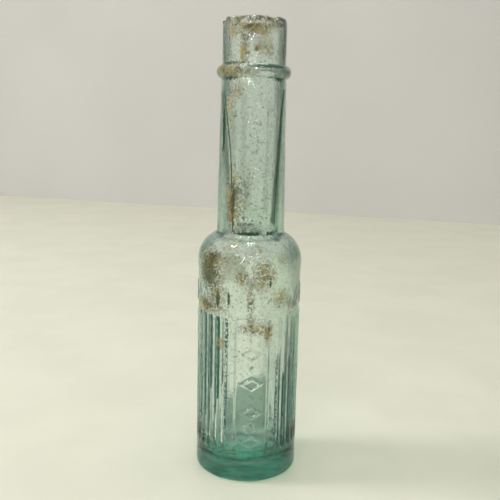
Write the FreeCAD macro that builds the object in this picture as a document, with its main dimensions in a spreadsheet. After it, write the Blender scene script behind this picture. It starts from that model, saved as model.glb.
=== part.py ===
"""A round, long-necked bottle of thick pressed glass with a ribbed body.

The bottle is one piece of glass.  It stands on a flat ring round a shallow push-up, with its axis on
Z and the middle of its foot at the origin.  Two smooth panels run up the body, one at the front (-Y)
and one at the back (+Y), and fourteen half-round ribs stand between them on each side.  The neck
carries a ring, and the burst lip above it has lost shell-shaped flakes all round.

Every size is a cell of the sheet "Dimensions", in millimetres or degrees.
"""

import FreeCAD, Part
import math
import os

import Sketcher

DIMENSIONS = [
    # foot and base
    ("total_height", 165.0),
    ("body_radius", 19.15),
    ("heel_radius", 1.8),
    ("rest_ring_width", 2.6),
    ("punt_rise", 1.4),
    ("floor_thickness", 5.6),
    # fluted zone between the two plain bands
    ("foot_band_top", 11.2),
    ("shoulder_band_foot", 62.7),
    ("flute_pitch_angle", 10.0),
    ("flutes_per_quarter", 7),
    ("flute_depth", 0.6),
    ("flute_cutter_radius", 1.35),
    ("flute_end_length", 3.2),
    ("flute_overrun", 1.5),
    ("edge_rib_angle", 10.3),
    ("panel_depth", 0.5),
    ("panel_corner_radius", 2.0),
    # shoulder and neck
    ("shoulder_foot", 80.3),
    ("shoulder_radius", 10.9),
    ("neck_fillet_radius", 1.2),
    ("neck_foot_radius", 12.4),
    ("neck_top_radius", 11.6),
    # ring and lip
    ("ring_below_rim", 17.9),
    ("ring_height", 4.8),
    ("ring_radius", 13.2),
    ("lip_radius", 11.3),
    # inside
    ("body_wall", 2.6),
    ("inner_heel_radius", 9.0),
    ("inner_neck_fillet_radius", 4.5),
    ("bore_foot_radius", 8.0),
    ("bore_top_radius", 8.8),
    ("mouth_radius", 9.2),
]

# Flakes burst from the lip: the angle round from the front towards +X, how deep the flake bites
# below the rim, half its width round the lip, and how far out its middle lies, as a share of the
# lip's radius.
LIP_FLAKES = [
    (-81.0, 2.5, 3.7, 1.13),
    (-49.0, 1.1, 1.5, 1.02),
    (-31.0, 0.35, 2.2, 1.00),
    (-9.0, 0.3, 2.4, 0.90),
    (26.0, 0.7, 2.4, 1.04),
    (57.0, 0.5, 1.8, 0.92),
    (79.0, 2.5, 4.0, 1.13),
    (112.0, 1.0, 3.2, 0.80),
    (141.0, 1.5, 3.1, 1.05),
    (166.0, 0.7, 3.4, 0.84),
    (190.0, 1.3, 2.5, 1.00),
    (215.0, 1.7, 3.4, 1.08),
    (241.0, 1.0, 3.0, 0.82),
    (263.0, 0.8, 2.4, 1.04),
]

# Each feature after the turned bottle adds or takes away at least this much, in cubic mm.
LEAST_CHANGE = 0.5


def make_sheet(doc):
    """The driving dimensions, one named cell each."""
    sheet = doc.addObject("Spreadsheet::Sheet", "Dimensions")
    for row, (name, value) in enumerate(DIMENSIONS, start=1):
        sheet.set(f"A{row}", name)
        sheet.set(f"B{row}", str(value))
        sheet.setAlias(f"B{row}", name)
    doc.recompute()
    return sheet


def origin_part(body, role):
    """The body's own origin plane or axis with that role."""
    return next(f for f in body.Origin.OriginFeatures if f.Role == role)


class Profile:
    """A closed sketch outline made of lines and arcs that follow one another."""

    def __init__(self, body, name, plane):
        self.sketch = body.newObject("Sketcher::SketchObject", name)
        self.sketch.AttachmentSupport = (origin_part(body, plane), [""])
        self.sketch.MapMode = "FlatFace"
        self.ends = []

    def line(self, start, end):
        index = self.sketch.addGeometry(
            Part.LineSegment(FreeCAD.Vector(*start, 0), FreeCAD.Vector(*end, 0)), False
        )
        self.ends.append((index, 1, 2))
        return index

    def arc(self, centre, radius, first, last):
        """An arc walked from angle first to angle last, in degrees, either way round."""
        low, high = sorted((first, last))
        circle = Part.Circle(FreeCAD.Vector(*centre, 0), FreeCAD.Vector(0, 0, 1), radius)
        index = self.sketch.addGeometry(
            Part.ArcOfCircle(circle, math.radians(low), math.radians(high)), False
        )
        self.ends.append((index, 1, 2) if first < last else (index, 2, 1))
        return index

    def turning_axis(self, edge):
        """A construction line along an edge, to turn the outline about."""
        ends = self.sketch.Geometry[edge]
        index = self.sketch.addGeometry(Part.LineSegment(ends.StartPoint, ends.EndPoint), True)
        for end in (1, 2):
            self.sketch.addConstraint(Sketcher.Constraint("Coincident", index, end, edge, end))

    def close(self, smooth=()):
        """Joins each piece to the next, and the last to the first, smoothly where asked."""
        for now, after in zip(self.ends, self.ends[1:] + self.ends[:1]):
            kind = "Tangent" if (now[0], after[0]) in smooth else "Coincident"
            self.sketch.addConstraint(Sketcher.Constraint(kind, now[0], now[2], after[0], after[1]))
        self.ends = []

    def fix(self, kind, *lines):
        """Keeps lines "Vertical" or "Horizontal"."""
        for index in lines:
            self.sketch.addConstraint(Sketcher.Constraint(kind, index))

    def lie_on_axis(self, *points):
        """Keeps points on the sketch's upright axis."""
        for index, end in points:
            self.sketch.addConstraint(Sketcher.Constraint("PointOnObject", index, end, -2))

    def bind(self, kind, where, value, expression):
        """A size that follows the sheet: the "Radius" of a curve, or a point's "X" or "Y"."""
        if kind == "Radius":
            constraint = Sketcher.Constraint("Radius", where, value)
        else:
            constraint = Sketcher.Constraint("Distance" + kind, -1, 1, where[0], where[1], value)
        index = self.sketch.addConstraint(constraint)
        self.sketch.setExpression(f"Constraints[{index}]", expression)


def glass_profile(body, size):
    """Half of the bottle's section: up the outside from the foot, over the lip, down the inside."""
    rest_outer = size["body_radius"] - size["heel_radius"]
    rest_inner = rest_outer - size["rest_ring_width"]
    shoulder_x = size["body_radius"] - size["shoulder_radius"]
    shoulder_z = size["shoulder_foot"]
    half_ring = size["ring_height"] / 2
    ring_middle = size["total_height"] - size["ring_below_rim"]
    ring_low = ring_middle - half_ring
    ring_high = ring_middle + half_ring
    inner_radius = size["body_radius"] - size["panel_depth"] - size["body_wall"]
    inner_arc = inner_radius - shoulder_x
    inner_heel = size["inner_heel_radius"]
    heel_top = size["floor_thickness"] + inner_heel

    # starting places of the curves, which the tangent joints then settle
    fillet_x = size["neck_foot_radius"] + size["neck_fillet_radius"]
    reach = size["shoulder_radius"] + size["neck_fillet_radius"]
    lean = math.acos((fillet_x - shoulder_x) / reach)
    fillet_z = shoulder_z + reach * math.sin(lean)
    lean = math.degrees(lean)
    corner_x = size["bore_foot_radius"] + size["inner_neck_fillet_radius"]
    inner_reach = inner_arc + size["inner_neck_fillet_radius"]
    inner_lean = math.acos((corner_x - shoulder_x) / inner_reach)
    corner_z = shoulder_z + inner_reach * math.sin(inner_lean)
    inner_lean = math.degrees(inner_lean)
    punt_radius = (rest_inner**2 + size["punt_rise"] ** 2) / (2 * size["punt_rise"])
    punt_angle = math.degrees(math.acos(rest_inner / punt_radius))
    bulge = size["ring_radius"] - (size["neck_top_radius"] + size["lip_radius"]) / 2
    bead_radius = (half_ring**2 + bulge**2) / (2 * bulge)
    bead_x = size["ring_radius"] - bead_radius
    bead_angle = math.degrees(math.asin(half_ring / bead_radius))

    p = Profile(body, "GlassSection", "XZ_Plane")
    punt = p.arc((0, size["punt_rise"] - punt_radius), punt_radius, 90, punt_angle)
    rest = p.line((rest_inner, 0), (rest_outer, 0))
    heel = p.arc((rest_outer, size["heel_radius"]), size["heel_radius"], -90, 0)
    wall = p.line((size["body_radius"], size["heel_radius"]), (size["body_radius"], shoulder_z))
    shoulder = p.arc((shoulder_x, shoulder_z), size["shoulder_radius"], 0, lean)
    fillet = p.arc((fillet_x, fillet_z), size["neck_fillet_radius"], 180 + lean, 180)
    neck = p.line((size["neck_foot_radius"], fillet_z), (size["neck_top_radius"], ring_low))
    bead = p.arc((bead_x, ring_middle), bead_radius, -bead_angle, bead_angle)
    lip = p.line((size["lip_radius"], ring_high), (size["lip_radius"], size["total_height"]))
    rim = p.line(
        (size["lip_radius"], size["total_height"]), (size["mouth_radius"], size["total_height"])
    )
    mouth = p.line((size["mouth_radius"], size["total_height"]), (size["bore_top_radius"], ring_low))
    bore = p.line((size["bore_top_radius"], ring_low), (size["bore_foot_radius"], corner_z))
    corner = p.arc(
        (corner_x, corner_z), size["inner_neck_fillet_radius"], 180, 180 + inner_lean
    )
    inner_shoulder = p.arc((shoulder_x, shoulder_z), inner_arc, inner_lean, 0)
    inner_wall = p.line((inner_radius, shoulder_z), (inner_radius, heel_top))
    floor_corner = p.arc((inner_radius - inner_heel, heel_top), inner_heel, 0, -90)
    floor = p.line((inner_radius - inner_heel, size["floor_thickness"]), (0, size["floor_thickness"]))
    axis = p.line((0, size["floor_thickness"]), (0, size["punt_rise"]))

    p.close(
        [
            (rest, heel),
            (heel, wall),
            (wall, shoulder),
            (shoulder, fillet),
            (fillet, neck),
            (bore, corner),
            (corner, inner_shoulder),
            (inner_shoulder, inner_wall),
            (inner_wall, floor_corner),
            (floor_corner, floor),
        ]
    )
    p.fix("Vertical", wall, lip, inner_wall)
    p.fix("Horizontal", rest, floor, rim)
    p.lie_on_axis((punt, 3), (punt, 2), (axis, 1))

    d = "Dimensions."
    inner = f"{d}body_radius - {d}panel_depth - {d}body_wall"
    half = f"{d}ring_height / 2"
    ring = f"{d}total_height - {d}ring_below_rim"
    swell = f"({d}ring_radius - ({d}neck_top_radius + {d}lip_radius) / 2)"
    # foot
    p.bind("Y", (punt, 2), size["punt_rise"], d + "punt_rise")
    p.bind(
        "X", (rest, 1), rest_inner, f"{d}body_radius - {d}heel_radius - {d}rest_ring_width"
    )
    p.bind("Y", (rest, 1), 0, "0")
    p.bind("Radius", heel, size["heel_radius"], d + "heel_radius")
    p.bind("X", (wall, 1), size["body_radius"], d + "body_radius")
    # shoulder and neck
    p.bind("Y", (wall, 2), shoulder_z, d + "shoulder_foot")
    p.bind("Radius", shoulder, size["shoulder_radius"], d + "shoulder_radius")
    p.bind("Radius", fillet, size["neck_fillet_radius"], d + "neck_fillet_radius")
    p.bind("X", (neck, 1), size["neck_foot_radius"], d + "neck_foot_radius")
    p.bind("X", (neck, 2), size["neck_top_radius"], d + "neck_top_radius")
    # ring and lip
    p.bind("Y", (neck, 2), ring_low, f"{ring} - {half}")
    p.bind("Radius", bead, bead_radius, f"(({half})^2 + {swell}^2) / (2 * {swell})")
    p.bind("X", (lip, 1), size["lip_radius"], d + "lip_radius")
    p.bind("Y", (lip, 1), ring_high, f"{ring} + {half}")
    p.bind("Y", (lip, 2), size["total_height"], d + "total_height")
    # inside
    p.bind("X", (mouth, 1), size["mouth_radius"], d + "mouth_radius")
    p.bind("X", (bore, 1), size["bore_top_radius"], d + "bore_top_radius")
    p.bind("Y", (bore, 1), ring_low, f"{ring} - {half}")
    p.bind("X", (bore, 2), size["bore_foot_radius"], d + "bore_foot_radius")
    p.bind("Radius", corner, size["inner_neck_fillet_radius"], d + "inner_neck_fillet_radius")
    p.bind("Radius", inner_shoulder, inner_arc, f"{inner} - {d}body_radius + {d}shoulder_radius")
    p.bind("X", (inner_wall, 1), inner_radius, inner)
    p.bind("Y", (inner_wall, 1), shoulder_z, d + "shoulder_foot")
    p.bind("Radius", floor_corner, inner_heel, d + "inner_heel_radius")
    p.bind("Y", (floor, 2), size["floor_thickness"], d + "floor_thickness")
    return p.sketch


def revolve_glass(body, sketch):
    """The plain bottle, turned in one piece with its bore and its hollow."""
    turned = body.newObject("PartDesign::Revolution", "PlainBottle")
    turned.Profile = sketch
    turned.ReferenceAxis = (sketch, ["V_Axis"])
    turned.Angle = 360.0
    return turned


def sink_panels(body, size):
    """The two smooth panels, front and back, sunk a little below the bands."""
    floor = size["body_radius"] - size["panel_depth"]
    outside = size["body_radius"] + 1.0
    low, high = size["foot_band_top"], size["shoulder_band_foot"]
    d = "Dimensions."
    p = Profile(body, "PanelSection", "YZ_Plane")
    for side in (-1, 1):
        deep, clear = side * floor, side * outside
        sill = p.line((deep, low), (clear, low))
        p.line((clear, low), (clear, high))
        head = p.line((clear, high), (deep, high))
        back = p.line((deep, high), (deep, low))
        p.close()
        p.fix("Vertical", sill + 1, back)
        p.fix("Horizontal", sill, head)
        sign = "-" if side < 0 else ""
        p.bind("X", (sill, 1), deep, f"{sign}({d}body_radius - {d}panel_depth)")
        p.bind("X", (sill, 2), clear, f"{sign}({d}body_radius + 1)")
        p.bind("Y", (sill, 1), low, d + "foot_band_top")
        p.bind("Y", (head, 1), high, d + "shoulder_band_foot")
    panels = body.newObject("PartDesign::Groove", "SunkPanels")
    panels.Profile = p.sketch
    panels.ReferenceAxis = (p.sketch, ["V_Axis"])
    panels.Midplane = True
    ribbed = f"({d}flutes_per_quarter - 1) * {d}flute_pitch_angle + {d}edge_rib_angle"
    panels.setExpression("Angle", f"180 - 2 * ({ribbed})")
    return panels


def round_panel_corners(body, panels, size):
    """Rounds the four corners of each panel, where its sides meet its sill and its head."""
    middle = size["body_radius"] - size["panel_depth"] / 2
    corners = []
    for number, edge in enumerate(panels.Shape.Edges, start=1):
        ends = [v.Point for v in edge.Vertexes]
        if len(ends) != 2 or abs(ends[0].z - ends[1].z) > 1e-6:
            continue
        radii = sorted(math.hypot(v.x, v.y) for v in ends)
        across = radii[1] - radii[0]
        if radii[0] < middle < radii[1] and abs(across - edge.Length) < 1e-6:
            corners.append(f"Edge{number}")
    rounded = body.newObject("PartDesign::Fillet", "PanelCorners")
    rounded.Base = (panels, corners)
    rounded.setExpression("Radius", "Dimensions.panel_corner_radius")
    return rounded


def cut_flute(body, size):
    """A round-bottomed flute with pointed ends, in the middle of the right side."""
    radius = size["flute_cutter_radius"]
    axis_x = size["body_radius"] - size["flute_depth"] + radius
    side_x = axis_x + radius
    low = size["foot_band_top"] - size["flute_overrun"]
    high = size["shoulder_band_foot"] + size["flute_overrun"]
    end = size["flute_end_length"]

    p = Profile(body, "FluteSection", "XZ_Plane")
    foot = p.line((axis_x, low), (side_x, low + end))
    side = p.line((side_x, low + end), (side_x, high - end))
    p.line((side_x, high - end), (axis_x, high))
    axis = p.line((axis_x, high), (axis_x, low))
    p.close()
    p.turning_axis(axis)
    p.fix("Vertical", side, axis)
    d = "Dimensions."
    middle = f"{d}body_radius - {d}flute_depth + {d}flute_cutter_radius"
    lowest = f"{d}foot_band_top - {d}flute_overrun"
    highest = f"{d}shoulder_band_foot + {d}flute_overrun"
    p.bind("X", (foot, 1), axis_x, middle)
    p.bind("Y", (foot, 1), low, lowest)
    p.bind("X", (side, 1), side_x, f"{middle} + {d}flute_cutter_radius")
    p.bind("Y", (side, 1), low + end, f"{lowest} + {d}flute_end_length")
    p.bind("Y", (side, 2), high - end, f"{highest} - {d}flute_end_length")
    p.bind("Y", (axis, 1), high, highest)
    flute = body.newObject("PartDesign::Groove", "SideFlute")
    flute.Profile = p.sketch
    flute.ReferenceAxis = (p.sketch, ["Axis0"])
    flute.Angle = 360.0
    return flute


def repeat_flutes(body, flute, size):
    """Flutes over a quarter, mirrored to the other quarters."""
    flutes = body.newObject("PartDesign::MultiTransform", "Flutes")
    flutes.Originals = [flute]
    row = body.newObject("PartDesign::PolarPattern", "FluteRow")
    row.Axis = (origin_part(body, "Z_Axis"), [""])
    front_back = body.newObject("PartDesign::Mirrored", "FlutesToFront")
    front_back.MirrorPlane = (origin_part(body, "XZ_Plane"), [""])
    left_right = body.newObject("PartDesign::Mirrored", "FlutesToLeft")
    left_right.MirrorPlane = (origin_part(body, "YZ_Plane"), [""])
    flutes.Transformations = [row, front_back, left_right]
    body.Tip = flutes
    d = "Dimensions."
    row.setExpression("Occurrences", d + "flutes_per_quarter")
    row.setExpression("Angle", f"({d}flutes_per_quarter - 1) * {d}flute_pitch_angle")
    return flutes


def flake_lip(body, size):
    """Shell-shaped flakes lost from the lip, each the bite of a ball."""
    d = "Dimensions."
    flakes = []
    for number, (turn, bite, half_width, outward) in enumerate(LIP_FLAKES, start=1):
        ball = (half_width**2 + bite**2) / (2 * bite)
        flake = body.newObject("PartDesign::SubtractiveSphere", f"LipFlake{number}")
        flake.Radius = ball
        turn = math.radians(turn)
        flake.setExpression("Placement.Base.x", f"{d}lip_radius * {outward * math.sin(turn):.5f}")
        flake.setExpression("Placement.Base.y", f"{d}lip_radius * {-outward * math.cos(turn):.5f}")
        flake.setExpression("Placement.Base.z", f"{d}total_height + {ball - bite:.5f}")
        flakes.append(flake)
    return flakes


def check(doc, names):
    """Stops at any feature that is broken or empty, and at a flute or flake that cuts nothing."""
    for item in doc.Objects:
        if "Invalid" in item.State or "Error" in item.State:
            raise RuntimeError(f"{item.Name} is broken: {item.State}")
    volumes = []
    for name in names:
        shape = doc.getObject(name).Shape
        if shape.isNull() or not shape.isValid():
            raise RuntimeError(f"{name} has no valid shape")
        volumes.append(shape.Volume)
    for name, before, after in zip(names[1:], volumes, volumes[1:]):
        if abs(after - before) < LEAST_CHANGE:
            raise RuntimeError(f"{name} changes nothing")
    if len(doc.getObject(names[-1]).Shape.Solids) != 1:
        raise RuntimeError("the bottle is not one solid")
    return volumes


def main():
    os.makedirs("parts", exist_ok=True)
    doc = FreeCAD.newDocument("RibbedBottle")
    make_sheet(doc)
    size = dict(DIMENSIONS)

    bottle = doc.addObject("PartDesign::Body", "Bottle")
    bottle.Label = "bottle"
    section = glass_profile(bottle, size)
    plain = revolve_glass(bottle, section)
    panels = sink_panels(bottle, size)
    doc.recompute()
    round_panel_corners(bottle, panels, size)
    flute = cut_flute(bottle, size)
    repeat_flutes(bottle, flute, size)
    flakes = flake_lip(bottle, size)
    doc.recompute()

    steps = [plain.Name, "SunkPanels", "PanelCorners", "SideFlute", "Flutes"]
    steps += [flake.Name for flake in flakes]
    volumes = check(doc, steps)
    for name, volume in zip(steps, volumes):
        print(f"{name}: {volume:.0f} cubic mm")
    bottle.Shape.exportStep("parts/bottle.step")


main()
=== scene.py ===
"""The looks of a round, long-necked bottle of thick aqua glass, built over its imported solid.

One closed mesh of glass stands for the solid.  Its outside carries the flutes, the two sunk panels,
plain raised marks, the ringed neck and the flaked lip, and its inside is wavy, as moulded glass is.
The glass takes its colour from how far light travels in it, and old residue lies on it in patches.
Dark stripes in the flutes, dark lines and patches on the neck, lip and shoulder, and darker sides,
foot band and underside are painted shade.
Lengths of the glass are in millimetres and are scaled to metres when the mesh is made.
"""

import math

import bpy
import numpy as np
from mathutils import Matrix, Vector


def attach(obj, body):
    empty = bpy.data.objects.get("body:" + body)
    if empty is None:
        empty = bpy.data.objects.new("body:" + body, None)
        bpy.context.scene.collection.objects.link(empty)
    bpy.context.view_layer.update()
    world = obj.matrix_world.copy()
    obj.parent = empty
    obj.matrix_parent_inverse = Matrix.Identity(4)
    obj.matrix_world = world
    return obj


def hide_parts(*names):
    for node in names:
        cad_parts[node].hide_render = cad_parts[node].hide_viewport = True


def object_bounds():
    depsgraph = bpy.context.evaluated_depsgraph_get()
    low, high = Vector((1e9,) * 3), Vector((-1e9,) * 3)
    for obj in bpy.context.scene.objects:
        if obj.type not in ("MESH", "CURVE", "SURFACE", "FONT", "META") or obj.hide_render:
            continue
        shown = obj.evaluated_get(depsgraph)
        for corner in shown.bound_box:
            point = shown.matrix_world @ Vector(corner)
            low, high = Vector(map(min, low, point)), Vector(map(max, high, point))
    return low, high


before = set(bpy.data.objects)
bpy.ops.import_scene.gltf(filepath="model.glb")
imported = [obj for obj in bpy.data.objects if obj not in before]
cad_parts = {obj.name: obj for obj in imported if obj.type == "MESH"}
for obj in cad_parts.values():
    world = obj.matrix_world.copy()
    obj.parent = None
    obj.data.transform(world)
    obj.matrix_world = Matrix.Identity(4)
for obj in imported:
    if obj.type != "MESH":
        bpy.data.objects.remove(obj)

MM = 0.001
CAD_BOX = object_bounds()
HEIGHT = (CAD_BOX[1].z - CAD_BOX[0].z) / MM
BODY_RADIUS = (CAD_BOX[1].x - CAD_BOX[0].x) / 2 / MM

# foot and base
HEEL_RADIUS = 1.8
REST_RING_WIDTH = 2.6
PUNT_RISE = 1.4
FLOOR_THICKNESS = 5.6
INNER_HEEL_RADIUS = 9.0

# fluted zone
ZONE_FOOT = 11.2
ZONE_HEAD = 62.7
FLUTE_PITCH = math.radians(10.0)
FLUTES_PER_QUARTER = 7
FLUTE_DEPTH = 0.6
FLUTE_CUTTER_RADIUS = 1.35
FLUTE_END_RUN = 2.2
PANEL_DEPTH = 0.5
PANEL_HALF_ANGLE = math.radians(19.7)
PANEL_CORNER = 2.0
PANEL_EDGE = 0.9
BAND_INSET = 0.22

# shoulder, neck, ring and lip
SHOULDER_FOOT = 80.3
SHOULDER_RADIUS = 10.9
NECK_FILLET = 1.2
NECK_FOOT_RADIUS = 12.4
NECK_TOP_RADIUS = 11.6
RING_MIDDLE = HEIGHT - 17.9
RING_HALF_HEIGHT = 2.4
RING_RADIUS = 13.2
LIP_RADIUS = 11.3

# inside
BODY_WALL = 2.6
INNER_NECK_FILLET = 4.5
BORE_FOOT_RADIUS = 8.0
BORE_TOP_RADIUS = 8.8
MOUTH_RADIUS = 9.2

# Flakes burst from the lip: angle from the front towards +X in degrees, bite below the rim, half
# width round the lip, and how far out the middle lies, as a share of the lip's radius.
LIP_FLAKES = [
    (-81.0, 2.5, 3.7, 1.13),
    (-49.0, 1.1, 1.5, 1.02),
    (-31.0, 0.35, 2.2, 1.00),
    (-9.0, 0.3, 2.4, 0.90),
    (26.0, 0.7, 2.4, 1.04),
    (57.0, 0.5, 1.8, 0.92),
    (79.0, 2.5, 4.0, 1.13),
    (112.0, 1.0, 3.2, 0.80),
    (141.0, 1.5, 3.1, 1.05),
    (166.0, 0.7, 3.4, 0.84),
    (190.0, 1.3, 2.5, 1.00),
    (215.0, 1.7, 3.4, 1.08),
    (241.0, 1.0, 3.0, 0.82),
    (263.0, 0.8, 2.4, 1.04),
]

# plain raised marks in place of lettering
MARK_RISE = 0.45
MARK_STROKE = 0.8
PANEL_MARKS = 9
PANEL_MARK_SPAN = (16.0, 60.0)
PANEL_MARK_SIZE = (3.4, 2.1)
BAND_MARK_MIDDLE = 68.6
BAND_MARK_SIZE = (1.3, 2.7)
BAND_MARK_PITCH = math.radians(15.0)

# Brown residue in patches: angle of the middle round from the front towards +X in degrees, height,
# half width round the glass, half height, and how thickly it lies, from 0 to 1.
STAINS = [
    # shoulder and band, left
    (-51.0, 81.8, 5.0, 2.8, 1.0),
    (-55.0, 76.0, 6.0, 4.0, 0.66),
    (-45.0, 70.0, 3.0, 4.2, 0.7),
    (-60.0, 65.2, 7.0, 2.3, 0.9),
    # top of the shoulder
    (-28.0, 87.0, 6.0, 2.4, 0.34),
    (2.0, 85.5, 9.0, 3.0, 0.28),
    # band, middle and right
    (12.0, 77.5, 4.2, 5.2, 0.55),
    (-14.0, 77.0, 2.6, 3.2, 0.5),
    (-3.0, 68.0, 1.4, 5.0, 0.5),
    (34.0, 69.0, 3.4, 3.6, 0.5),
    (54.0, 65.5, 3.0, 2.2, 0.5),
    # head of the panel and the rib left of it
    (-2.0, 60.0, 1.5, 3.4, 0.6),
    (3.0, 58.2, 5.8, 2.0, 0.54),
    (18.0, 56.6, 1.0, 3.6, 0.95),
    (-37.0, 52.0, 1.0, 2.4, 0.85),
    # foot of the neck, its left side and its top
    (-22.0, 92.6, 4.5, 1.2, 0.42),
    (-39.0, 102.0, 2.0, 9.5, 1.0),
    (-50.0, 135.0, 1.6, 9.5, 0.45),
    (-36.0, 140.0, 2.6, 3.2, 0.5),
    # ring and lip
    (-56.0, 147.2, 6.5, 2.2, 0.85),
    (-20.0, 146.4, 5.0, 1.6, 0.45),
    (-5.0, 161.2, 4.4, 2.4, 1.0),
    (-24.0, 154.5, 1.3, 5.0, 0.8),
    (1.0, 154.4, 1.0, 0.9, 1.0),
    (-48.0, 159.5, 1.4, 3.0, 0.55),
    (24.0, 153.6, 2.2, 2.6, 0.4),
    # the sides that face away
    (104.0, 147.0, 5.0, 2.0, 0.6),
    (118.0, 79.0, 5.0, 4.0, 0.6),
    (166.0, 66.5, 5.5, 3.0, 0.65),
    (201.0, 75.0, 4.5, 4.5, 0.7),
    (188.0, 104.0, 1.6, 8.0, 0.6),
    (232.0, 120.0, 1.8, 9.0, 0.55),
    (150.0, 158.0, 4.0, 3.0, 0.6),
]

# Milky bloom on the glass, as height and strength from the foot to the rim.
BLOOM = [
    (0.0, 0.05), (12.0, 0.1), (40.0, 0.2), (46.0, 0.5), (60.0, 0.85), (76.0, 0.8), (90.0, 0.3),
    (104.0, 0.6), (122.0, 0.55), (150.0, 0.6), (161.0, 0.65), (162.5, 1.0), (HEIGHT, 1.0),
]

# Dark pitting of the glass, in the same way.
PITTING = [
    (0.0, 0.0), (40.0, 0.05), (56.0, 0.25), (78.0, 0.4), (90.0, 0.8), (104.0, 0.7), (116.0, 0.35),
    (126.0, 0.1), (145.0, 0.05), (160.0, 0.15), (162.0, 0.9), (HEIGHT, 0.9),
]

# Painted shade in the flutes, as dark stripes: distance of the flute round from the front in
# degrees, and the height down to which it reaches on the left, up to which it reaches on the right,
# and how thickly it lies.
FLUTE_SHADE_LEFT = [(30.0, 14.0), (40.0, 30.0), (50.0, 34.0), (60.0, 22.0), (70.0, 14.0), (80.0, 11.0)]
FLUTE_SHADE_RIGHT = [(30.0, 50.0), (40.0, 42.0), (50.0, 48.0), (60.0, 54.0), (70.0, 62.0)]
FLUTE_SHADE_THICKNESS = [(30.0, 0.45), (41.0, 1.0), (65.0, 1.0), (75.0, 0.7), (90.0, 0.6)]
FLUTE_SHADE_BACK_THICKNESS = 0.3
FLUTE_SHADE_BACK_FROM = math.radians(96.0)

# Half width of a stripe of painted shade, by how much it grows for each degree that the flute lies
# farther from the front than a start, how much its ends waver, and how far it lies towards the
# panel.
FLUTE_SHADE_HALF_WIDTH = 0.66
FLUTE_SHADE_WIDENING = 0.008
FLUTE_SHADE_WIDENS_FROM = 50.0
FLUTE_SHADE_WAVER = 2.0
FLUTE_SHADE_SHIFT = math.radians(1.0)

# Painted shade in soft patches on the outside: dark lines at the foot of the neck, on the neck, on
# and under the ring and in the band, and a darker patch at the left side of the shoulder: middle
# angle in degrees, height, half width, half height and how thickly it lies.
SHADE_PATCHES = [
    (-8.0, 91.3, 6.0, 0.8, 1.0),
    (28.0, 91.3, 3.0, 0.8, 0.8),
    (-56.0, 78.0, 6.0, 7.0, 0.74),
    (-36.0, 101.0, 0.7, 9.0, 0.85),
    (-63.0, 127.0, 1.0, 10.0, 0.95),
    (-40.0, 68.5, 0.8, 3.4, 0.9),
    (-27.0, 69.0, 0.5, 2.6, 0.8),
    (18.0, 75.5, 0.5, 2.4, 0.7),
    (20.0, 148.5, 9.0, 0.7, 0.9),
    (-50.0, 149.6, 6.0, 0.6, 0.7),
    (-55.0, 144.4, 5.0, 0.7, 0.9),
    (50.0, 144.4, 4.0, 0.7, 0.9),
    (140.0, 148.3, 9.0, 0.7, 0.8),
    (190.0, 91.3, 7.0, 0.8, 0.9),
]

# Painted shade in runs down the neck and the lip, the dark lines that the bore and the sides of the
# glass show, which bend round towards their upper end: angle at the lower end and at the upper end,
# lowest and highest height, half width, and how thickly it lies.
RUNS_OUTSIDE = [
    (-41.0, -67.0, 104.0, 143.0, 0.3, 0.9),
    (38.0, 62.0, 92.5, 143.5, 0.32, 1.0),
    (43.0, 56.0, 96.0, 132.0, 0.2, 0.7),
    (-79.0, -79.0, 150.5, 162.5, 0.35, 0.9),
    (-53.0, -55.0, 150.5, 160.0, 0.22, 0.7),
    (66.0, 64.0, 150.5, 162.5, 0.3, 0.9),
    (52.0, 50.0, 150.5, 157.0, 0.2, 0.7),
]
RUNS_INSIDE = [
    (-61.0, -93.0, 93.0, 142.0, 1.1, 1.0),
    (51.0, 83.0, 93.0, 143.0, 1.0, 1.0),
    (-84.0, -86.0, 146.0, 164.0, 1.2, 0.7),
    (74.0, 76.0, 146.0, 164.0, 1.3, 0.75),
    (128.0, 124.0, 95.0, 138.0, 0.5, 0.7),
    (197.0, 204.0, 100.0, 141.0, 0.4, 0.6),
    (236.0, 232.0, 93.0, 120.0, 0.5, 0.7),
]

# A grey-green tint on the inside of the back wall, below a slanting edge: height of its edge on the
# axis, and how far the edge climbs for each mm towards +X and towards +Y.
BACK_TINT_EDGE = (13.2, 0.65, 0.8)
BACK_TINT_HALF_ANGLE = math.radians(42.0)

# Painted shade along the two sides of the glass: turn of the sides from +-X, and half width.
SHADE_TURN = math.radians(-5.0)
SHADE_HALF_WIDTH = math.radians(22.0)

# the clear glass itself
GLASS_IOR = 1.52
GLASS_COLOUR = (0.4, 0.8, 0.67, 1.0)
GLASS_DENSITY = 60.0

# What lies on the glass, in the order in which it is laid: its mask, its colour, and the share of
# the light that it stops.  Light that still passes takes on the colour.
COATS = [
    # a grey-green tint inside the back wall
    ("back_tint", (0.1, 0.22, 0.17, 1.0), 0.2),
    # milky bloom, which also paints the raised marks paler, a painted highlight
    ("milky", (1.0, 1.0, 0.87, 1.0), 0.3),
    ("specks", (0.1, 0.12, 0.06, 1.0), 0.5),
    # painted shade: dark stripes in the flutes
    ("stripes", (0.0, 0.085, 0.065, 1.0), 0.78),
    # painted shade: dark lines and patches on and in the neck, lip, ring and shoulder
    ("painted_shade", (0.025, 0.08, 0.045, 1.0), 0.85),
    # painted shade on the underside of the foot, with duller scuffed patches
    ("underside_shade_and_scuffs", (0.07, 0.45, 0.38, 1.0), 0.0),
    # painted shade: the band round the foot is darker, in streaks
    ("foot", (0.09, 0.25, 0.24, 1.0), 0.0),
    # painted shade along the two sides
    ("shade", (0.1, 0.27, 0.18, 1.0), 0.15),
]
RESIDUE_DARK = (0.1, 0.08, 0.02, 1.0)
RESIDUE_LIGHT = (0.34, 0.265, 0.06, 1.0)
RESIDUE_SHADED = (0.05, 0.05, 0.02, 1.0)
RESIDUE_CRUST = (0.66, 0.64, 0.5, 1.0)
RESIDUE_STOPS = 0.9

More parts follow.
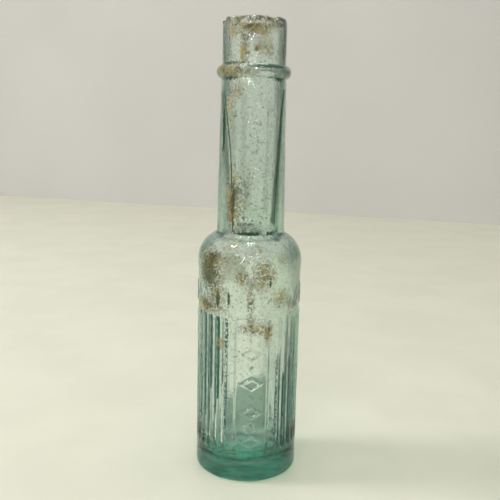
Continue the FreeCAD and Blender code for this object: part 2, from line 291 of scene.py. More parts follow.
# Small lamps in the ceiling, which make the glints: place in metres, and size.
CEILING_LAMPS = [
    ((-0.59, -0.17, 1.23), 0.14),
    ((0.01, -0.09, 1.38), 0.14),
    ((-0.72, -0.82, 0.79), 0.11),
    ((-0.15, -1.08, 0.79), 0.11),
    ((0.25, -0.93, 0.95), 0.11),
    ((-0.43, -1.18, 0.42), 0.09),
    ((0.05, -1.3, 0.29), 0.05),
]


# ---------------------------------------------------------------- outlines


def stretch(start, end, step):
    """Evenly spaced values from start up to, but without, end."""
    count = max(1, round(abs(end - start) / step))
    return np.linspace(start, end, count, endpoint=False)


def straight(start, end, step):
    """Points of a straight stretch of an outline, without its end."""
    length = math.hypot(end[0] - start[0], end[1] - start[1])
    t = stretch(0.0, 1.0, step / length)
    return [(start[0] + (end[0] - start[0]) * s, start[1] + (end[1] - start[1]) * s) for s in t]


def rounded(centre, radius, first, last, count):
    """Points of an arc of an outline, from angle first towards last in radians, without its end."""
    angles = np.linspace(first, last, count, endpoint=False)
    return [(centre[0] + radius * math.cos(a), centre[1] + radius * math.sin(a)) for a in angles]


def outside_outline():
    """The outside, from the middle of the foot to the foot of the lip."""
    rest_outer = BODY_RADIUS - HEEL_RADIUS
    rest_inner = rest_outer - REST_RING_WIDTH
    punt_radius = (rest_inner**2 + PUNT_RISE**2) / (2 * PUNT_RISE)
    shoulder_x = BODY_RADIUS - SHOULDER_RADIUS
    fillet_x = NECK_FOOT_RADIUS + NECK_FILLET
    reach = SHOULDER_RADIUS + NECK_FILLET
    lean = math.acos((fillet_x - shoulder_x) / reach)
    fillet_z = SHOULDER_FOOT + reach * math.sin(lean)
    bulge = RING_RADIUS - (NECK_TOP_RADIUS + LIP_RADIUS) / 2
    bead_radius = (RING_HALF_HEIGHT**2 + bulge**2) / (2 * bulge)
    bead_x = RING_RADIUS - bead_radius
    bead = math.asin(RING_HALF_HEIGHT / bead_radius)
    ring_low = (NECK_TOP_RADIUS, RING_MIDDLE - RING_HALF_HEIGHT)

    rim_angle = math.acos(rest_inner / punt_radius)
    points = rounded((0.0, PUNT_RISE - punt_radius), punt_radius, math.pi / 2, rim_angle, 10)
    points += straight((rest_inner, 0.0), (rest_outer, 0.0), 0.9)
    points += rounded((rest_outer, HEEL_RADIUS), HEEL_RADIUS, -math.pi / 2, 0.0, 9)
    points += straight((BODY_RADIUS, HEEL_RADIUS), (BODY_RADIUS, ZONE_FOOT - 1.5), 0.6)
    points += straight((BODY_RADIUS, ZONE_FOOT - 1.5), (BODY_RADIUS, ZONE_HEAD + 1.5), 0.3)
    points += straight((BODY_RADIUS, ZONE_HEAD + 1.5), (BODY_RADIUS, SHOULDER_FOOT), 0.4)
    points += rounded((shoulder_x, SHOULDER_FOOT), SHOULDER_RADIUS, 0.0, lean, 24)
    points += rounded((fillet_x, fillet_z), NECK_FILLET, math.pi + lean, math.pi, 5)
    points += straight((NECK_FOOT_RADIUS, fillet_z), ring_low, 1.0)
    points += rounded((bead_x, RING_MIDDLE), bead_radius, -bead, bead, 14)
    return np.array(points)


def inside_outline():
    """The inside, from the foot of the mouth to the middle of the floor."""
    wall = BODY_RADIUS - PANEL_DEPTH - BODY_WALL
    shoulder_x = BODY_RADIUS - SHOULDER_RADIUS
    arc = wall - shoulder_x
    corner_x = BORE_FOOT_RADIUS + INNER_NECK_FILLET
    reach = arc + INNER_NECK_FILLET
    lean = math.acos((corner_x - shoulder_x) / reach)
    corner_z = SHOULDER_FOOT + reach * math.sin(lean)
    heel_x = wall - INNER_HEEL_RADIUS
    heel_z = FLOOR_THICKNESS + INNER_HEEL_RADIUS

    bore_top = (BORE_TOP_RADIUS, RING_MIDDLE - RING_HALF_HEIGHT)
    points = straight(bore_top, (BORE_FOOT_RADIUS, corner_z), 1.4)
    points += rounded((corner_x, corner_z), INNER_NECK_FILLET, math.pi, math.pi + lean, 8)
    points += rounded((shoulder_x, SHOULDER_FOOT), arc, lean, 0.0, 16)
    points += straight((wall, SHOULDER_FOOT), (wall, heel_z), 1.4)
    points += rounded((heel_x, heel_z), INNER_HEEL_RADIUS, 0.0, -math.pi / 2, 12)
    points += straight((heel_x, FLOOR_THICKNESS), (0.0, FLOOR_THICKNESS), 1.3)
    return np.array(points)


def column_angles():
    """Angles round the bottle, closer together across the front panel, where the marks are fine."""
    edge = math.radians(25.0)
    fine = stretch(-edge, edge, math.radians(0.6))
    return np.concatenate([fine, stretch(edge, 2 * math.pi - edge, FLUTE_PITCH / 14)])


# ---------------------------------------------------------------- relief


def smooth_step(value):
    """0 below 0, 1 above 1, and a soft rise between."""
    t = np.clip(value, 0.0, 1.0)
    return t * t * (3.0 - 2.0 * t)


def ripple(angle, height, seed, waves, round_limit, length_limit):
    """Soft unevenness between about -1 and 1, the same on every run, and closed round the bottle."""
    rng = np.random.default_rng(seed)
    total = np.zeros(np.broadcast(angle, height).shape)
    for _ in range(waves):
        turns = rng.integers(0, round_limit + 1)
        along = rng.uniform(-1.0, 1.0) * 2 * math.pi / length_limit
        total += np.cos(turns * angle + along * height + rng.uniform(0, 2 * math.pi))
    return total / math.sqrt(waves / 2) / 2.2


def from_middle(angle, middle=0.0):
    """How far round an angle lies from a middle angle, between -pi and pi."""
    return (angle - middle + math.pi) % (2 * math.pi) - math.pi


def flutes(angle, height):
    """Depth of the flutes: round-bottomed, and pointed where they run out into the bands."""
    side = np.abs(np.abs(from_middle(angle)) - math.pi / 2)
    number = np.round(side / FLUTE_PITCH)
    off = np.abs(side - number * FLUTE_PITCH) * BODY_RADIUS
    from_axis = np.sqrt(np.maximum(FLUTE_CUTTER_RADIUS**2 - off**2, 0.0))
    section = np.maximum(from_axis - FLUTE_CUTTER_RADIUS + FLUTE_DEPTH, 0.0) / FLUTE_DEPTH
    run = np.maximum(ZONE_FOOT + FLUTE_END_RUN - height, height - ZONE_HEAD + FLUTE_END_RUN)
    run = np.maximum(run, 0.0) / FLUTE_END_RUN
    depth = FLUTE_DEPTH * np.maximum(section - run**1.5, 0.0)
    return np.where(number < FLUTES_PER_QUARTER, depth, 0.0)


def panels(angle, height):
    """Depth of the two sunk panels, with round corners."""
    across = np.abs(from_middle(angle))
    across = np.minimum(across, math.pi - across) * BODY_RADIUS
    half_width = PANEL_HALF_ANGLE * BODY_RADIUS - PANEL_CORNER
    half_height = (ZONE_HEAD - ZONE_FOOT) / 2 - PANEL_CORNER
    out = np.abs(height - (ZONE_HEAD + ZONE_FOOT) / 2) - half_height
    over = across - half_width
    edge = np.hypot(np.maximum(over, 0.0), np.maximum(out, 0.0)) - PANEL_CORNER
    edge = edge + np.minimum(np.maximum(over, out), 0.0)
    return PANEL_DEPTH * smooth_step(-edge / PANEL_EDGE)


def lozenge(across, up, half_width, half_height):
    """How far a point lies from the outline of a lozenge, in about the outline's own units."""
    slant = half_width * half_height / math.hypot(half_width, half_height)
    return np.abs(np.abs(across) / half_width + np.abs(up) / half_height - 1.0) * slant


def stroke(distance, width=MARK_STROKE):
    """Height of a soft-edged raised line at a distance from its middle."""
    return MARK_RISE * np.exp(-((distance / (width / 2)) ** 2))


def panel_marks(angle, height):
    """A column of lozenge outlines and round pips in the front panel."""
    across = from_middle(angle) * BODY_RADIUS
    low, high = PANEL_MARK_SPAN
    total = np.zeros(np.broadcast(angle, height).shape)
    for number, middle in enumerate(np.linspace(low, high, PANEL_MARKS)):
        up = height - middle
        if number % 2:
            mark = stroke(np.hypot(across, up) * 0.8, 2.0)
        else:
            mark = stroke(lozenge(across, up, *PANEL_MARK_SIZE))
        total = np.maximum(total, mark)
    return total


def band_marks(angle, height):
    """Raised lozenges in a row round the plain band under the shoulder."""
    across = from_middle(angle) / BAND_MARK_PITCH
    across = (across - np.round(across)) * BAND_MARK_PITCH * BODY_RADIUS
    up = height - BAND_MARK_MIDDLE
    return stroke(lozenge(across, up, *BAND_MARK_SIZE), 0.9)


def outside_relief(angle, height, radius):
    """How far the outside lies from the plain outline."""
    on_wall = (height > HEEL_RADIUS) & (height < SHOULDER_FOOT) & (radius > NECK_FOOT_RADIUS + 2)
    band = smooth_step((height - ZONE_HEAD + 1.0) / 2.0) * BAND_INSET
    band *= 1 - smooth_step((height - SHOULDER_FOOT + 6.0) / 6.0)
    relief = panel_marks(angle, height) + band_marks(angle, height) - band
    relief = relief - np.maximum(flutes(angle, height), panels(angle, height))
    relief = np.where(on_wall, relief, 0.0)
    free = smooth_step((height - HEEL_RADIUS) / 6.0)
    sag = ripple(angle, height, 3, 40, 9, 14.0) * 0.05
    pits = ripple(angle, height, 5, 60, 44, 3.2) * 0.022
    return relief + (sag + pits - 0.06) * free


def inside_relief(angle, height, radius):
    """Unevenness of the inside, which only the blowing shaped: lobes, waves and upright streaks."""
    calm = smooth_step((HEIGHT - 3.0 - height) / 12.0) * smooth_step((radius - 1.0) / 5.0)
    roomy = smooth_step((radius - BORE_FOOT_RADIUS) / 4.0)
    lobes = ripple(angle, height, 11, 24, 3, 55.0) * (0.12 + 0.18 * roomy)
    waves = ripple(angle, height, 13, 40, 8, 16.0) * (0.06 + 0.08 * roomy)
    streaks = ripple(angle, height, 17, 40, 26, 40.0) * 0.04
    return (lobes + waves + streaks) * calm


def rim_height(angle, radius):
    """Height of the burst rim over a place on it: level glass less the shell-shaped flakes."""
    x = radius * np.sin(angle)
    y = -radius * np.cos(angle)
    top = HEIGHT - 0.02 - 0.06 * (1 + ripple(angle, radius, 23, 30, 40, 1.5))
    rng = np.random.default_rng(29)
    nicks = []
    for _ in range(46):
        outward = rng.choice([MOUTH_RADIUS, LIP_RADIUS]) / LIP_RADIUS
        nicks.append((rng.uniform(0, 360), rng.uniform(0.08, 0.3), rng.uniform(0.5, 1.2), outward))
    for turn, bite, half_width, outward in LIP_FLAKES + nicks:
        turn = math.radians(turn)
        ball = (half_width**2 + bite**2) / (2 * bite)
        middle = LIP_RADIUS * outward
        away = np.hypot(x - middle * math.sin(turn), y + middle * math.cos(turn))
        drop = np.sqrt(np.maximum(ball**2 - away**2, 0.0))
        shell = HEIGHT + ball - bite - drop + 0.02 * np.sin(away * 11.0)
        top = np.where(away < ball, np.minimum(top, shell), top)
    return top


# ---------------------------------------------------------------- age


def stains(angle, height, radius):
    """How thickly brown residue lies, from 0 to 1."""
    total = np.zeros(np.broadcast(angle, height).shape)
    for middle, level, half_width, half_height, thick in STAINS:
        across = from_middle(angle, math.radians(middle)) * radius / half_width
        reach = (across**2 + ((height - level) / half_height) ** 2) ** 0.8
        total = np.maximum(total, thick * np.exp(-reach))
    crust = smooth_step((height - HEIGHT + 5.0) / 4.0) * smooth_step((LIP_RADIUS - radius) / 0.5)
    # The rim's crust thins where the painted shade of the two sides reaches it.
    return np.maximum(total, 0.8 * crust * (1 - shade(angle, height)))


def by_height(height, table):
    """The strength that a table of heights and strengths gives at a height."""
    levels, strengths = zip(*table)
    return np.interp(height, levels, strengths)


def painted_flute_shade(angle, height):
    """How much painted shade lies in the flutes, as dark stripes, from 0 to 1."""
    turn = from_middle(angle)
    side = np.abs(np.abs(turn) - math.pi / 2)
    number = np.round(side / FLUTE_PITCH)
    off = np.abs(side - number * FLUTE_PITCH - FLUTE_SHADE_SHIFT) * BODY_RADIUS
    away = 90.0 - number * math.degrees(FLUTE_PITCH)
    rough = ripple(angle, height, 31, 50, 90, 2.6)
    lowest = np.interp(away, *zip(*FLUTE_SHADE_LEFT)) + FLUTE_SHADE_WAVER * rough
    highest = np.interp(away, *zip(*FLUTE_SHADE_RIGHT)) + FLUTE_SHADE_WAVER * rough
    length = np.where(
        turn < 0, smooth_step((height - lowest) / 3.0), smooth_step((highest - height) / 3.0)
    )
    in_zone = smooth_step((height - ZONE_FOOT) / 1.5) * smooth_step((ZONE_HEAD - height) / 1.0)
    half_width = FLUTE_SHADE_HALF_WIDTH + FLUTE_SHADE_WIDENING * np.maximum(away - FLUTE_SHADE_WIDENS_FROM, 0.0)
    stripe = 1 - smooth_step((off - half_width * (1 + 0.25 * rough)) / 0.2)
    thick = np.interp(away, *zip(*FLUTE_SHADE_THICKNESS))
    thick = np.where(np.abs(turn) > FLUTE_SHADE_BACK_FROM, FLUTE_SHADE_BACK_THICKNESS, thick)
    return np.where(number < FLUTES_PER_QUARTER, stripe * length * in_zone * thick, 0.0)


def painted_shade_patches(angle, height, radius):
    """How much painted shade lies on the outside, in dark lines and patches, from 0 to 1."""
    total = np.zeros(np.broadcast(angle, height).shape)
    for middle, level, half_width, half_height, thick in SHADE_PATCHES:
        across = from_middle(angle, math.radians(middle)) * radius / half_width
        reach = across**2 + ((height - level) / half_height) ** 2
        total = np.maximum(total, thick * np.exp(-(reach**1.5)))
    return total


def painted_shade_runs(angle, height, radius, runs):
    """How much painted shade lies in runs down the neck and the lip, from 0 to 1."""
    total = np.zeros(np.broadcast(angle, height).shape)
    sway = 0.03 * ripple(angle * 0.0, height, 41, 12, 0, 22.0)
    for foot, head, low, high, half_width, thick in runs:
        climb = np.clip((height - low) / (high - low), 0.0, 1.0) ** 2
        middle = np.radians(foot + (head - foot) * climb) + sway
        across = np.abs(from_middle(angle, middle)) * radius
        ends = smooth_step((height - low) / 3.0) * smooth_step((high - height) / 3.0)
        total = np.maximum(total, thick * ends * np.exp(-((across / half_width) ** 4)))
    return total


def shade(angle, height):
    """How much painted shade darkens the glass along its two sides, from 0 to 1."""
    away = np.abs(np.abs(from_middle(angle, SHADE_TURN)) - math.pi / 2)
    return smooth_step(1.0 - away / SHADE_HALF_WIDTH) * smooth_step((height - ZONE_HEAD) / 3.0)


def back_tint(angle, height, radius):
    """1 where the grey-green tint lies on the inside of the back wall, and 0 elsewhere."""
    level, climb_x, climb_y = BACK_TINT_EDGE
    edge = level + climb_x * radius * np.sin(angle) + climb_y * -radius * np.cos(angle)
    edge = edge + 0.5 * ripple(angle, height, 37, 40, 50, 5.0)
    reach = BACK_TINT_HALF_ANGLE - np.abs(from_middle(angle, math.pi))
    lowest = FLOOR_THICKNESS + 1.2
    inner = smooth_step(reach / math.radians(4.0)) * smooth_step((height - lowest) / 2.0)
    return smooth_step((edge - height) / 0.6) * inner


def age_layers(angle, height, radius, inside):
    """Every layer that the glass material reads, by name, from 0 to 1."""
    outside = ~inside
    upright = radius > BODY_RADIUS - HEEL_RADIUS
    sides = shade(angle, height)
    # Less bloom on the two sides, where their painted shade lies.
    bloom_and_mark_sheen = by_height(height, BLOOM) * np.where(outside, 1.0, 0.5) * (1 - 0.8 * sides)
    on_outside = np.maximum(
        painted_shade_patches(angle, height, radius), painted_shade_runs(angle, height, radius, RUNS_OUTSIDE)
    )
    on_inside = painted_shade_runs(angle, height, radius, RUNS_INSIDE)
    return {
        "stain": stains(angle, height, radius),
        # The raised marks in the panel are painted paler, a painted highlight on their relief.
        "bloom_and_mark_sheen": np.maximum(bloom_and_mark_sheen, panel_marks(angle, height) / MARK_RISE * outside),
        "pitting": by_height(height, PITTING) * np.where(outside, 1.0, 0.5),
        # Painted shade: dark stripes in the flutes, and dark lines and patches outside and inside.
        "painted_flute_shade": painted_flute_shade(angle, height) * outside,
        "painted_shade": np.where(outside, on_outside, on_inside),
        "back_tint": back_tint(angle, height, radius) * inside,
        # Painted shade on the underside, on the band round the foot, and along the two sides.
        "underside_shade_and_scuffs": outside * ~upright * (height < ZONE_FOOT),
        "foot": outside * upright * smooth_step(ZONE_FOOT - height),
        "shade": sides * outside,
    }


# ---------------------------------------------------------------- the glass


def glass_rows():
    """Radius and height at every row and column of the glass, from its foot to its inner floor.

    The third array is true for the rows that lie on the inside.
    """
    angle = column_angles()[None, :]
    outline = outside_outline()
    radius, height = outline[:, :1], outline[:, 1:]
    r_out = radius + outside_relief(angle, height, radius)
    r_out = np.minimum(r_out, BODY_RADIUS)
    z_out = np.broadcast_to(height, r_out.shape)

    foot = RING_MIDDLE + RING_HALF_HEIGHT
    share = stretch(0.0, 1.0, 1 / 30)[:, None]
    z_lip = foot + (rim_height(angle, LIP_RADIUS) - foot) * share
    r_lip = LIP_RADIUS + outside_relief(angle, z_lip, LIP_RADIUS) * (1 - share)

    r_rim = np.linspace(LIP_RADIUS, MOUTH_RADIUS, 26)[:, None] + 0 * angle
    r_rim[0] -= 0.03  # the rim's outer edge is a little worn
    z_rim = rim_height(angle, r_rim)
    z_rim[0] -= 0.05

    inner_foot = RING_MIDDLE - RING_HALF_HEIGHT
    share = np.linspace(0.0, 1.0, 18, endpoint=False)[1:, None]
    z_bore = z_rim[-1:] + (inner_foot - z_rim[-1:]) * share
    r_bore = MOUTH_RADIUS + (BORE_TOP_RADIUS - MOUTH_RADIUS) * share
    r_bore = r_bore + inside_relief(angle, z_bore, MOUTH_RADIUS)

    outline = inside_outline()
    radius, height = outline[:, :1], outline[:, 1:]
    r_in = radius + inside_relief(angle, height, radius)
    z_in = np.broadcast_to(height, r_in.shape)
    rows_r = np.concatenate([r_out, r_lip, r_rim, r_bore, r_in])
    rows_z = np.concatenate([z_out, z_lip, z_rim, z_bore, z_in])
    inside = np.arange(len(rows_r)) >= len(r_out) + len(r_lip) + len(r_rim)
    return rows_r[1:], rows_z[1:], inside[1:]


def glass_mesh(name):
    """One closed mesh: rings of quads between two fans, one under the foot and one on the floor."""
    radius, height, inside = glass_rows()
    angle = column_angles()[None, :]
    rows, columns = radius.shape
    ring = np.stack([radius * np.sin(angle), -radius * np.cos(angle), height], axis=-1)
    poles = np.array([[0.0, 0.0, PUNT_RISE], [0.0, 0.0, FLOOR_THICKNESS]])
    points = np.concatenate([ring.reshape(-1, 3), poles]) * MM

    row, column = np.meshgrid(np.arange(rows - 1), np.arange(columns), indexing="ij")
    after = (column + 1) % columns
    quads = np.stack(
        [
            row * columns + column,
            row * columns + after,
            (row + 1) * columns + after,
            (row + 1) * columns + column,
        ],
        axis=-1,
    ).reshape(-1, 4)
    this = np.arange(columns)
    after = (this + 1) % columns
    last = (rows - 1) * columns
    foot_pole, floor_pole = rows * columns, rows * columns + 1
    faces = quads.tolist()
    faces += np.stack([after, this, np.full(columns, foot_pole)], axis=-1).tolist()
    faces += np.stack([last + this, last + after, np.full(columns, floor_pole)], axis=-1).tolist()

    mesh = bpy.data.meshes.new(name)
    mesh.from_pydata(points.tolist(), [], faces)
    mesh.validate()
    mesh.shade_smooth()
    mesh.set_sharp_from_angle(angle=math.radians(38))

    for layer, values in age_layers(angle, height, radius, inside[:, None]).items():
        values = np.append(np.clip(values, 0.0, 1.0).ravel(), [0.0, 0.0])
        mesh.attributes.new(layer, "FLOAT", "POINT").data.foreach_set("value", values)
    return mesh


def add_object(name, mesh, material):
    piece = bpy.data.objects.new(name, mesh)
    bpy.context.scene.collection.objects.link(piece)
    mesh.materials.append(material)
    return piece


# ---------------------------------------------------------------- materials


def new_material(name):
    """A node material with its Principled node and its output."""
    material = bpy.data.materials.new(name)
    material.use_nodes = True
    nodes = material.node_tree.nodes
    return material, nodes["Principled BSDF"], nodes["Material Output"]


class Graph:
    """Short ways to add the nodes of a material."""

    def __init__(self, tree):
        self.tree = tree

    def add(self, kind, **settings):
        node = self.tree.nodes.new("ShaderNode" + kind)
        for name, value in settings.items():
            setattr(node, name, value)
        return node

    def feed(self, socket, value):
        """Joins a socket to a node's output, or sets it to a plain value."""
        if isinstance(value, bpy.types.NodeSocket):
            self.tree.links.new(value, socket)
        else:
            socket.default_value = value

    def layer(self, name):
        return self.add("Attribute", attribute_name=name).outputs["Fac"]

    def noise(self, place, scale, detail, roughness=0.55):
        node = self.add("TexNoise")
        self.feed(node.inputs["Vector"], place)
        self.feed(node.inputs["Scale"], scale)
        self.feed(node.inputs["Detail"], detail)
        self.feed(node.inputs["Roughness"], roughness)
        return node.outputs["Fac"]

    def math(self, operation, first, second):
        node = self.add("Math", operation=operation)
        self.feed(node.inputs[0], first)
        self.feed(node.inputs[1], second)
        return node.outputs[0]

    def scaled(self, value, from_low, from_high, to_low=0.0, to_high=1.0):
        """A value mapped from one range to another, and kept inside it."""
        node = self.add("MapRange", interpolation_type="SMOOTHSTEP")
        self.feed(node.inputs["Value"], value)
        self.feed(node.inputs["From Min"], from_low)
        self.feed(node.inputs["From Max"], from_high)
        self.feed(node.inputs["To Min"], to_low)
        self.feed(node.inputs["To Max"], to_high)
        return node.outputs["Result"]

    def blend(self, amount, first, second):
        """A colour between two, by an amount from 0 to 1."""
        node = self.add("Mix", data_type="RGBA")
        self.feed(node.inputs[0], amount)
        self.feed(node.inputs[6], first)
        self.feed(node.inputs[7], second)
        return node.outputs[2]


def glass_noises(g):
    """The noises that break up what lies on the glass, by name, with their scales per metre."""
    place = g.add("TexCoord").outputs["Object"]
    stretched = g.add("VectorMath", operation="MULTIPLY")
    g.feed(stretched.inputs[0], place)
    stretched.inputs[1].default_value = (1.0, 1.0, 6.0)
    return {
        "mottle": g.noise(place, 900.0, 5.0, 0.65),
        "veins": g.noise(place, 640.0, 3.0),
        "fine": g.noise(place, 1700.0, 3.0),
        "broad": g.noise(place, 160.0, 4.0),
        "speckle": g.noise(place, 1250.0, 4.0, 0.6),
        "streaks": g.noise(stretched.outputs[0], 110.0, 4.0),
    }


def residue_mask(g, noises):
    """Where brown residue shows: blots inside its patches, and thin veins round them."""
    stain = g.layer("stain")
    blots = g.math("ADD", stain, g.scaled(noises["mottle"], 0.22, 0.78, -0.75, 0.75))
    blots = g.scaled(blots, 0.6, 0.74)
    thin = g.math("ABSOLUTE", g.math("SUBTRACT", noises["veins"], 0.5), 0.0)
    thin = g.math("MULTIPLY", g.scaled(thin, 0.02, 0.05, 1.0, 0.0), g.scaled(stain, 0.08, 0.3))
    return g.math("MAXIMUM", blots, g.math("MULTIPLY", thin, 0.9))


def residue_colour(g, noises, painted_shade):
    """Brown in light and dark patches, darker where painted shade lies too, and a pale crust at the
    rim.
    """
    brown = g.blend(g.scaled(noises["broad"], 0.42, 0.58), RESIDUE_DARK, RESIDUE_LIGHT)
    crust = g.scaled(g.layer("bloom_and_mark_sheen"), 0.88, 1.0)
    crust = g.math("MULTIPLY", crust, g.scaled(noises["speckle"], 0.4, 0.5))
    brown = g.blend(crust, brown, RESIDUE_CRUST)
    return g.blend(g.math("MULTIPLY", painted_shade, 0.7), brown, RESIDUE_SHADED)


def coat_masks(g, noises):
    """Where each of COATS lies, by name."""
    dashes = g.scaled(noises["speckle"], 0.25, 0.75, -0.6, 0.6)
    # The dark stripes and lines of painted shade are broken into dashes.
    stripes = g.math("ADD", g.math("MULTIPLY", g.layer("painted_flute_shade"), 1.35), dashes)
    painted_shade = g.math("ADD", g.math("MULTIPLY", g.layer("painted_shade"), 1.35), dashes)
    milky = g.math("MULTIPLY", g.layer("bloom_and_mark_sheen"), g.scaled(noises["broad"], 0.3, 0.7, 0.45, 1.0))
    specks = g.math("MULTIPLY", g.layer("pitting"), g.scaled(noises["broad"], 0.4, 0.62))
    specks = g.math("ADD", noises["speckle"], g.math("MULTIPLY", specks, 0.14))
    back_tint_breaks = g.scaled(noises["fine"], 0.25, 0.45, 0.85, 1.0)
    streaks = g.scaled(noises["streaks"], 0.38, 0.62, 0.55, 1.0)
    return {
        "back_tint": g.math("MULTIPLY", g.layer("back_tint"), back_tint_breaks),
        "milky": g.math("MULTIPLY", milky, g.scaled(noises["mottle"], 0.3, 0.65, 0.5, 1.0)),
        "specks": g.scaled(specks, 0.64, 0.73),
        "stripes": g.scaled(stripes, 0.3, 0.75),
        "painted_shade": g.scaled(painted_shade, 0.35, 0.75),
        "underside_shade_and_scuffs": g.layer("underside_shade_and_scuffs"),
        "foot": g.math("MULTIPLY", g.layer("foot"), streaks),
        "shade": g.layer("shade"),
    }


def glass_bump(g, noises):
    """A slightly uneven skin, rougher where the glass has bloomed."""
    bump = g.add("Bump")
    bump.inputs["Distance"].default_value = 0.0002
    g.feed(bump.inputs["Strength"], g.scaled(g.layer("bloom_and_mark_sheen"), 0.1, 0.8, 0.12, 0.35))
    skin = g.math("ADD", noises["speckle"], g.math("MULTIPLY", noises["mottle"], 1.4))
    g.feed(bump.inputs["Height"], skin)
    return bump.outputs["Normal"]


def let_lamps_through(g, shader, output):
    """Lamps shine through the glass, so its shadow is as pale as a real bottle's."""
    clear = g.add("BsdfTransparent")
    clear.inputs["Color"].default_value = (0.68, 0.72, 0.68, 1.0)
    mix = g.add("MixShader")
    g.feed(mix.inputs["Fac"], g.add("LightPath").outputs["Is Shadow Ray"])
    g.feed(mix.inputs[1], shader.outputs[0])
    g.feed(mix.inputs[2], clear.outputs[0])
    g.feed(output.inputs["Surface"], mix.outputs[0])


def glass_material():
    """Aqua glass, coloured by the way through it, with the residue of its age and painted shade on
    its skin.
    """
    material, shader, output = new_material("aqua_glass")
    g = Graph(material.node_tree)
    shader.inputs["IOR"].default_value = GLASS_IOR
    depth = g.add("VolumeAbsorption")
    depth.inputs["Color"].default_value = GLASS_COLOUR
    depth.inputs["Density"].default_value = GLASS_DENSITY
    g.feed(output.inputs["Volume"], depth.outputs[0])

    noises = glass_noises(g)
    masks = coat_masks(g, noises)
    residue = residue_mask(g, noises)
    colour = (1.0, 1.0, 1.0, 1.0)
    opaque = g.math("MULTIPLY", residue, RESIDUE_STOPS)
    for name, tint, stops in COATS:
        colour = g.blend(masks[name], colour, tint)
        opaque = g.math("MAXIMUM", opaque, g.math("MULTIPLY", masks[name], stops))
    colour = g.blend(residue, colour, residue_colour(g, noises, masks["painted_shade"]))
    # Duller, less clear patches within the painted shade of the underside.
    dull_underside_patches = g.math("MULTIPLY", masks["underside_shade_and_scuffs"], g.scaled(noises["broad"], 0.4, 0.6, 0.25, 0.55))
    opaque = g.math("MAXIMUM", opaque, dull_underside_patches)
    dull = g.math("MAXIMUM", residue, g.math("MULTIPLY", masks["milky"], 0.12))

    g.feed(shader.inputs["Base Color"], colour)
    g.feed(shader.inputs["Transmission Weight"], g.math("SUBTRACT", 1.0, opaque))
    g.feed(shader.inputs["Roughness"], g.scaled(dull, 0.0, 1.0, 0.03, 0.55))
    g.feed(shader.inputs["Normal"], glass_bump(g, noises))
    let_lamps_through(g, shader, output)
    return material


def plain_material(name, colour, roughness, patch):
    """A plain painted surface with faint soft patches of a size in metres."""
    material, shader, _ = new_material(name)
    g = Graph(material.node_tree)
    cloud = g.noise(g.add("TexCoord").outputs["Object"], 1.0 / patch, 3.0)
    darker = tuple(0.95 * part for part in colour)
    patchy = g.blend(g.scaled(cloud, 0.35, 0.65), (*darker, 1.0), (*colour, 1.0))
    g.feed(shader.inputs["Base Color"], patchy)
    shader.inputs["Roughness"].default_value = roughness
    return material


# ---------------------------------------------------------------- stage, light and camera


def quad(name, corners, material):
    mesh = bpy.data.meshes.new(name)
    mesh.from_pydata([tuple(c) for c in corners], [], [(0, 1, 2, 3)])
    add_object(name, mesh, material)


def make_stage():
    """A pale table top and a pale wall behind it."""
    table = plain_material("table_top", (0.74, 0.74, 0.61), 0.35, 0.05)
    wall = plain_material("wall", (0.69, 0.67, 0.64), 0.9, 0.3)
    quad("floor", [(-1.2, -0.5, 0), (1.2, -0.5, 0), (1.2, 1.5, 0), (-1.2, 1.5, 0)], table)
    turn = Matrix.Rotation(math.radians(-21), 4, "Z")
    corners = [(-0.6, 0, 0), (0.6, 0, 0), (0.6, 0, 0.7), (-0.6, 0, 0.7)]
    quad("backdrop", [turn @ Vector(c) + Vector((0, 0.79, 0)) for c in corners], wall)


def area_lamp(name, place, target, size, power):
    lamp = bpy.data.lights.new(name, "AREA")
    lamp.shape = "DISK"
    lamp.size = size
    lamp.energy = power
    piece = bpy.data.objects.new(name, lamp)
    piece.location = place
    piece.rotation_euler = (Vector(target) - Vector(place)).to_track_quat("-Z", "Y").to_euler()
    bpy.context.scene.collection.objects.link(piece)
    return piece


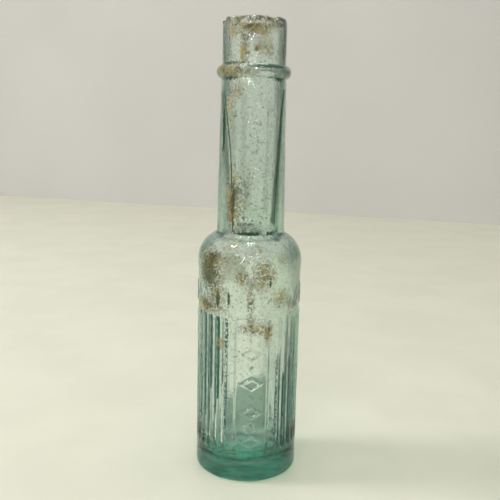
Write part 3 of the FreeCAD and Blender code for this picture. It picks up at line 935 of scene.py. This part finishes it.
def make_light():
    """A soft low key from the left, a broad fill from above and a few small ceiling lamps."""
    key = area_lamp("key", (-0.95, 0.1, 0.75), (0, 0, 0.05), 0.3, 7.2)
    fill = area_lamp("fill", (0.2, -0.3, 1.8), (0, 0.25, 0.0), 1.6, 6.0)
    front = area_lamp("front", (-0.35, -1.3, 0.9), (0, 0, 0.1), 0.9, 7.8)
    for lamp in (key, fill, front):
        lamp.visible_glossy = False
        lamp.visible_transmission = False
    for number, (place, size) in enumerate(CEILING_LAMPS):
        lamp = area_lamp(f"ceiling_{number}", place, (0, 0, 0.1), size, 180.0 * size**2)
        lamp.visible_diffuse = False
        lamp.visible_transmission = False
    world = bpy.data.worlds.new("room")
    world.use_nodes = True
    bpy.context.scene.world = world
    g = Graph(world.node_tree)
    background = world.node_tree.nodes["Background"]
    way = g.add("SeparateXYZ")
    g.feed(way.inputs[0], g.add("TexCoord").outputs["Generated"])
    g.feed(background.inputs["Strength"], g.scaled(way.outputs["Z"], 0.2, 0.8, 0.1, 0.6))
    background.inputs["Color"].default_value = (1.0, 0.99, 0.93, 1.0)


def make_camera():
    """Close in front, a little above the bottle's shoulder, turned a few degrees to its left."""
    azimuth = math.radians(-5.0)
    distance, height = 0.2445, 0.1295
    pitch, roll = math.radians(10.7), math.radians(1.3)
    camera = bpy.data.cameras.new("camera")
    camera.sensor_width = 36.0
    camera.lens = 48.3
    camera.clip_start = 0.01
    piece = bpy.data.objects.new("camera", camera)
    bpy.context.scene.collection.objects.link(piece)
    place = Vector((math.sin(azimuth) * distance, -math.cos(azimuth) * distance, height))
    turn = Matrix.Rotation(azimuth, 4, "Z")
    tilt = Matrix.Rotation(math.pi / 2 - pitch, 4, "X")
    spin = Matrix.Rotation(roll, 4, "Z")
    piece.matrix_world = Matrix.Translation(place) @ turn @ tilt @ spin
    bpy.context.scene.camera = piece


def main():
    glass = add_object("bottle_glass", glass_mesh("bottle_glass"), glass_material())
    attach(glass, "root")
    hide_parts("bottle")
    make_stage()
    make_light()
    make_camera()
    bpy.context.scene.view_settings.view_transform = "Standard"


main()
